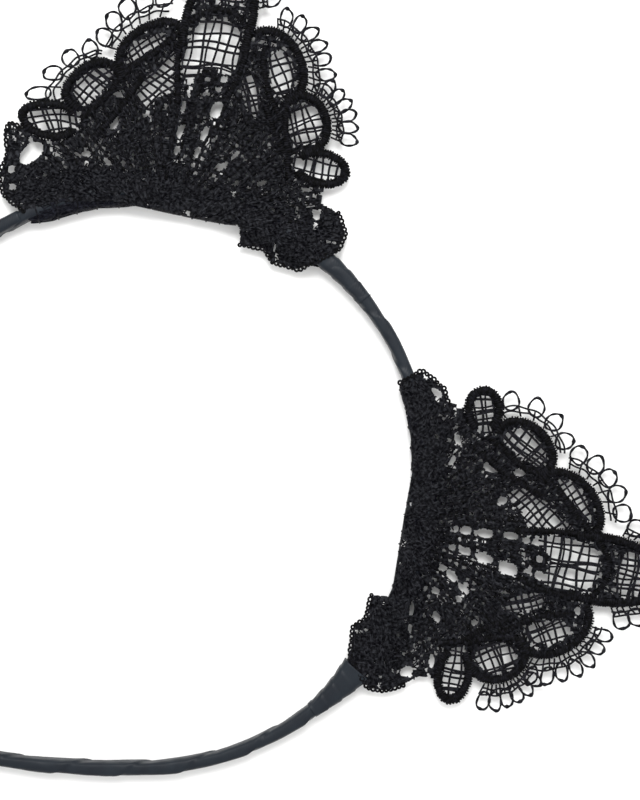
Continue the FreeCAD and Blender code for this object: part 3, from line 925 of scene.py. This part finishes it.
def net_threads(mesh, ear, outline, pitch, along, across, chance):
    """The threads of one window's net that run one way."""
    middle = outline.mean(0)
    low, high = ((outline - middle) @ across).min(), ((outline - middle) @ across).max()
    reach = np.abs((outline - middle) @ along).max() + 1.0
    count = max(1, round((high - low) / pitch))
    step = np.arange(-reach, reach, NET_STEP)
    for k in range(count):
        offset = low + (high - low) * (k + 0.5 + chance.uniform(-0.25, 0.25)) / count
        bend = NET_BEND * np.sin(step / chance.uniform(1.5, 3.2) + chance.uniform(0, 6))
        weave = NET_WEAVE * np.sin(step * np.pi / pitch + k * np.pi)
        for twin in range(2 if chance.random() < DOUBLED else 1):
            drift = twin * (0.5 + 0.2 * np.sin(step / 2.4 + k))
            line = middle + step[:, None] * along + (offset + bend + drift)[:, None] * across
            keep = polygon_depth(outline, line[:, 0], line[:, 1]) > -0.5
            radius = chance.uniform(*NET_RADIUS)
            for run in inside_runs(np.column_stack([line, weave]), keep):
                mesh.tubes(ear.lay(run[:, :2], run[:, 2]), radius, sides=5)


def net_filling(mesh, ear, name, seed):
    """Thin uneven net across one window."""
    chance = np.random.default_rng(seed)
    tilt, pitch, _ = WINDOWS[name]
    lean = math.radians(tilt)
    ahead, aside = np.array([math.cos(lean), math.sin(lean)]), np.array([-math.sin(lean), math.cos(lean)])
    for along, across in ((ahead, aside), (aside, ahead)):
        net_threads(mesh, ear, WINDOW_LINES[name], pitch, along, across, chance)


# ---- the lace's picot edging

# Loops of the edging, for each petal: the first and the last loop's direction from its centre, how many,
# how far the first and the last loop's middle stand out from the petal's edge, half a loop's width, and the
# rungs to a loop.
PICOTS = {
    "mid_left": (206, 109, 4, 2.9, 2.0, 1.75, 1.3),
    "high_left": (178, 91, 5, 3.4, 3.3, 1.85, 1.3),
    "tip": (150, 30, 9, 2.4, 2.4, 1.7, 2),
    "high_right": (88, -14, 7, 2.6, 3.3, 1.3, 2),
    "mid_right": (66, -8, 6, 2.4, 3.3, 1.3, 2),
}
LOOP_HALF_LENGTH = 2.0
LOOP_POINTS = 44
LOOP_RADIUS, RAIL_RADIUS, RUNG_RADIUS = 0.26, 0.22, 0.21
RAILS = (0.22, 0.62)  # shares of the loops' reach
RAIL_POINTS = 70
RUNG_END = 0.66  # as a share of the loops' reach


class Edging:
    """The places of one petal's picot edging."""

    def __init__(self, name):
        self.petal = PETALS[name][:5]
        self.first, self.last, self.count, *self.reaches, self.half_width, self.rungs = PICOTS[name]
        self.span = (self.last - self.first) / (self.count - 1)

    def at(self, direction, beyond):
        """A point in a direction from the petal's centre, so far beyond its edge."""
        cu, cv, length, width, tilt = self.petal
        turned = np.radians(direction - tilt)
        radius = length * width / np.hypot(width * np.cos(turned), length * np.sin(turned)) + beyond
        lean = np.radians(direction)
        return np.stack([cu + radius * np.cos(lean), cv + radius * np.sin(lean)], -1)

    def reach(self, direction):
        """How far out the loops' middles are in a direction."""
        near, far = self.reaches
        return near + (far - near) * (direction - self.first) / (self.last - self.first)


def ladder(mesh, ear, edging, chance):
    """The rails and rungs between a petal and its loops."""
    first, last, span = edging.first, edging.last, edging.span
    ends = np.linspace(first - span * 0.55, last + span * 0.55, RAIL_POINTS)
    for rail in RAILS:
        wave = 0.15 * np.sin(np.arange(RAIL_POINTS) * 0.35 + chance.uniform(0, 6))
        line = edging.at(ends, rail * edging.reach(ends) + wave)
        mesh.tubes(ear.lay(line, 0.0), RAIL_RADIUS, sides=5)
    for direction in np.arange(first - span * 0.5, last + span * 0.55, span / edging.rungs):
        lean = direction + chance.uniform(-2.5, 2.5)
        beyond = np.linspace(-0.4, RUNG_END * float(edging.reach(direction)), 8)
        mesh.tubes(ear.lay(edging.at(np.linspace(direction, lean, 8), beyond), 0.06), RUNG_RADIUS, sides=5)


def loops(mesh, ear, edging, chance):
    """A petal's loops, each with its knot at the outer end."""
    turn = np.linspace(0, FULL_TURN, LOOP_POINTS, endpoint=False)
    for direction in edging.first + edging.span * np.arange(edging.count):
        centre = edging.at(direction, edging.reach(direction) + chance.uniform(-0.2, 0.2))
        lean = math.radians(direction + chance.uniform(-9, 9))
        x = LOOP_HALF_LENGTH * (np.cos(turn) + 0.06 * np.cos(3 * turn + chance.uniform(0, 6)))
        y = edging.half_width * (np.sin(turn) + 0.06 * np.sin(2 * turn + chance.uniform(0, 6)))
        loop = np.stack([centre[0] + x * math.cos(lean) - y * math.sin(lean),
                         centre[1] + x * math.sin(lean) + y * math.cos(lean)], -1)
        knot = 0.8 * np.exp(-(1 - np.cos(turn)) / 0.04)
        thickness = 1 + 0.2 * np.sin(6 * turn + chance.uniform(0, 6)) + knot
        mesh.tubes(ear.lay(loop, 0.1 * np.sin(turn)), LOOP_RADIUS * thickness, sides=6, closed=True)


def picot_edging(ear, seed):
    """The edging: a ladder round each petal, and a knotted thread loop over each of its steps."""
    chance = np.random.default_rng(seed)
    mesh = Mesh()
    for name in PICOTS:
        edging = Edging(name)
        ladder(mesh, ear, edging, chance)
        loops(mesh, ear, edging, chance)
    return mesh


# ---- the roll of lace round the band

HEM_SPAN = (-31.0, 29.5)
HEM_INSIDE = (0.3, 1.1)  # how far it stands inside the band at its very ends, and how much more between
HEM_OUTSIDE = 0.5
HEM_CLEARANCE = 0.25  # from its top to the thread that lies on it
HEM_ENDS = 0.06  # the share of its length over which each end thins out
HEM_STEP = 0.4
HEM_SIDES = 32
HEM_STITCHES = 17  # for each millimetre of its length
WHIP_PITCH = 4.5
WHIP_POINTS = 16
WHIP_TURN = (215, -20)  # where a whip stitch starts and ends round the roll, in degrees


def hem_surface(ear, heading, turn, grow):
    """Points on the roll at headings and turns round its section. It is uneven, and thinner at its ends."""
    start, end = [ear.heading(angle) for angle in HEM_SPAN]
    share = (heading - start) / (end - start)
    ends = np.sqrt(np.clip(np.minimum(share, 1 - share) / HEM_ENDS, 0.0, 1.0))
    run = np.radians(heading) * HOOP_RADIUS
    lumps = uneven(1.5, run, run * 0, 7.0, seed=51) + uneven(0.5, run, run * 0, 2.2, seed=52)
    inner = BAND_THICKNESS / 2 + HEM_INSIDE[0] + HEM_INSIDE[1] * ends + 0.6 * ends * lumps
    outer = BAND_THICKNESS / 2 + HEM_OUTSIDE
    offset = (outer - inner) / 2 + squarish(np.cos(turn)) * ((outer + inner) / 2 + grow)
    tall = (HEM_TOP / 2 - HEM_CLEARANCE) * (0.85 + 0.15 * ends) + grow
    return hoop_points(heading, offset, HEM_TOP / 2 + squarish(np.sin(turn)) * tall)


def roll_stitches(mesh, ear, start, end, count):
    """Stitches all over the roll, most of them along it."""
    chance = np.random.default_rng(51)
    heading = chance.uniform(start + 1.0, end - 1.0, count)
    at = chance.uniform(0, FULL_TURN, count)
    lengthwise = chance.random(count) < 0.7
    direction = np.where(lengthwise, chance.normal(0, 0.25, count), chance.uniform(0, np.pi, count))
    share = np.linspace(-1, 1, STITCH_POINTS)
    half = chance.uniform(0.8, 1.5, count)[:, None]
    along = np.degrees(half * share * np.cos(direction)[:, None] / HOOP_RADIUS)
    around = half * share * np.sin(direction)[:, None] / 2.6
    line = hem_surface(ear, heading[:, None] + along, at[:, None] + around, 0.0)
    middle = hoop_points(heading[:, None] + along, 0.0, HEM_TOP / 2)
    mesh.tubes(line, chance.uniform(0.16, 0.24, count)[:, None], sides=4, reference=line - middle)


def hem_roll(ear):
    """The lace wrapped round the band: a solid roll with stitches all over it."""
    start, end = [ear.heading(angle) for angle in HEM_SPAN]
    turn = np.arange(HEM_SIDES) * FULL_TURN / HEM_SIDES
    headings, run = headings_along(start, end, HEM_STEP)
    mesh = Mesh()
    mesh.skin(hem_surface(ear, headings[:, None], turn[None], -0.15))
    roll_stitches(mesh, ear, start, end, int(run[-1] * HEM_STITCHES))
    return mesh


def whip_stitches(ear):
    """Whip stitches over the roll, each with its own slant."""
    start, end = [ear.heading(angle) for angle in HEM_SPAN]
    mesh = Mesh()
    chance = np.random.default_rng(71)
    headings, _ = headings_along(start + 2, end - 2, WHIP_PITCH)
    turn = np.radians(np.linspace(*WHIP_TURN, WHIP_POINTS))
    for heading in headings:
        slant = chance.uniform(0.4, 1.4) * np.linspace(-1, 1, WHIP_POINTS)
        mesh.tubes(hem_surface(ear, heading + slant, turn, 0.22), 0.18, sides=6)
    return mesh


# ---- putting the pieces on

EAR_SEED = {"left": 100, "right": 200}
FLEX_HALF = 5.0  # of the ribbon, in degrees each side of the arm's hinge
CROWN_SHORT, CROWN_UNDER = 3.0, 9.0  # degrees from the hinges to the crown winding's two ends
ARM_OVER = 12.0  # and to where the arms' windings begin


def bend_with(piece):
    """Lace that crosses the ear's bend: its place is baked into its mesh."""
    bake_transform(piece)


def lace_piece(ear, name, material, mesh):
    """A piece of lace: its mesh moves from the ear's upright frame to the ear's place."""
    mesh.points = [ear.place(points) for points in mesh.points]
    piece = mesh.make(f"{ear.side}_{name}", material)
    bend_with(piece)
    return piece


def ribs_and_purls(ear, depth_at, seed):
    """The fan's ribs, and the purls along the foot's flap and tail."""
    mesh = Mesh()
    fan_ribs(mesh, ear, depth_at, seed + 1)
    purl_border(mesh, ear, FOOT_FLAP[ear.side][1:] + FOOT_LOBE[:4], seed + 2)
    purl_border(mesh, ear, FOOT_TAIL[ear.side][:-1], seed + 3)
    return mesh


def nets(ear, seed):
    """The nets of all the windows."""
    mesh = Mesh()
    for i, name in enumerate(WINDOWS):
        net_filling(mesh, ear, name, seed + i)
    return mesh


def dress_ear(side):
    """One ear's lace, and the roll, the stitches and the collar that hold it on the band."""
    ear = Ear(side)
    seed = EAR_SEED[side]
    depth_at = DepthMap(ear)
    sheet = lace_piece(ear, "lace_ground", LACE, ground(ear, depth_at))
    fill = lace_piece(ear, "fill_stitches", LACE, fill_stitches(ear, depth_at, seed))
    ribs = lace_piece(ear, "fan_ribs", CORD, ribs_and_purls(ear, depth_at, seed))
    cords = lace_piece(ear, "outline_cord", CORD, raised_cords(ear, seed + 10))
    net = lace_piece(ear, "net", NET, nets(ear, seed + 60))
    picots = lace_piece(ear, "picots", NET, picot_edging(ear, seed + 80))
    for piece, node in ((sheet, "clothwork"), (cords, "outline_cord"), (net, "net"), (picots, "picots")):
        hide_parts(f"{side}_ear_{node}")

    roll = hem_roll(ear).make(f"{side}_hem_roll", HEM)
    whip = whip_stitches(ear).make(f"{side}_whip_stitches", SEWING)
    turns = collar(ear)
    for piece, slot, node in ((roll, "lace_thread", "lace_hem"), (whip, "sewing_thread", "hem_stitches"),
                              (turns, "ribbon_satin", "lace_collar")):
        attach(piece, "crown")
        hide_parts(f"{side}_{node}")


def wrap_arm(side, sign):
    """One arm's winding, with its place baked into its mesh, and the fold over its tip, which goes with the
    arm.
    """
    arm = winding(f"{side}_arm_winding", sign * (FLEX_HEADING - ARM_OVER), sign * TIP_HEADING, 2 + sign)
    hinge = sign * np.array([FLEX_HEADING - FLEX_HALF, FLEX_HEADING + FLEX_HALF])
    start, end = hoop_points(hinge, 0.0, MID_Z) * MM
    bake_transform(arm)
    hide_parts(f"{side}_arm_ribbon")
    fold = tip_fold(side, sign)
    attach(fold, f"{side}_arm")
    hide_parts(f"{side}_tip_fold")
    return [arm, fold]


def wind_band():
    """The ribbon round the whole hoop, and the steel of the strips under it."""
    crown = winding("crown_winding", -FLEX_HEADING + CROWN_SHORT, FLEX_HEADING - CROWN_UNDER, 1)
    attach(crown, "crown")
    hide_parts("crown_ribbon")
    for piece in [crown, *wrap_arm("left", -1), *wrap_arm("right", 1)]:
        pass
    for node in ("crown_strip", "left_arm_strip", "right_arm_strip"):
        for slot in frame["nodes"][node].material_slots:
            slot.material = STEEL


# ---- floor, light and camera

FLOOR_REACH = 1.2
WORLD_STRENGTH = 1.18
SOFTBOX_SIZE, SOFTBOX_POWER = 0.4, 6.5
SOFTBOX_UP_THE_IMAGE, SOFTBOX_HEIGHT = 0.4, 0.75
# The photograph was taken straight down, turned from the frame's +Y, with its middle here.
VIEW_TURN = math.radians(54.6)
VIEW_CENTRE = np.array([8.5, 45.4, 0.0])
VIEW_HEIGHT = 172.0  # how much of the table the picture's longer side shows
LENS = 85.0
SENSOR = 36.0


def add_floor():
    """The white table that the headband lies on."""
    mesh = bpy.data.meshes.new("floor")
    corners = [(x * FLOOR_REACH, y * FLOOR_REACH, 0) for x, y in ((-1, -1), (1, -1), (1, 1), (-1, 1))]
    mesh.from_pydata(corners, [], [(0, 1, 2, 3)])
    mesh.materials.append(floor_material())
    floor = add_object("floor", mesh)


def add_world():
    """Even white light from all round."""
    world = bpy.data.worlds.new("studio")
    world.use_nodes = True
    background = world.node_tree.nodes["Background"]
    background.inputs["Color"].default_value = (1.0, 1.0, 1.0, 1.0)
    background.inputs["Strength"].default_value = WORLD_STRENGTH
    bpy.context.scene.world = world


def add_softbox():
    """One round softbox, beyond the top of the picture."""
    image_up = np.array([-math.sin(VIEW_TURN), math.cos(VIEW_TURN), 0.0])
    light = bpy.data.lights.new("softbox", "AREA")
    light.shape = "DISK"
    light.size = SOFTBOX_SIZE
    light.energy = SOFTBOX_POWER
    lamp = add_object("softbox", light)
    away = SOFTBOX_UP_THE_IMAGE * image_up + SOFTBOX_HEIGHT * UP
    lamp.location = VIEW_CENTRE * MM + away
    lamp.rotation_mode = "QUATERNION"
    lamp.rotation_quaternion = Vector(-away).to_track_quat("-Z", "Y")


def add_camera():
    """The photograph's camera, looking straight down."""
    camera = bpy.data.cameras.new("camera")
    camera.lens = LENS
    camera.sensor_width = SENSOR
    camera.sensor_fit = "AUTO"
    view = add_object("camera", camera)
    view.location = (VIEW_CENTRE + (MID_Z + VIEW_HEIGHT * LENS / SENSOR) * UP) * MM
    view.rotation_euler = (0.0, 0.0, VIEW_TURN)
    bpy.context.scene.camera = view
    bpy.context.scene.view_settings.view_transform = "Standard"


wind_band()
for ear_side in ("left", "right"):
    dress_ear(ear_side)
add_floor()
add_world()
add_softbox()
add_camera()
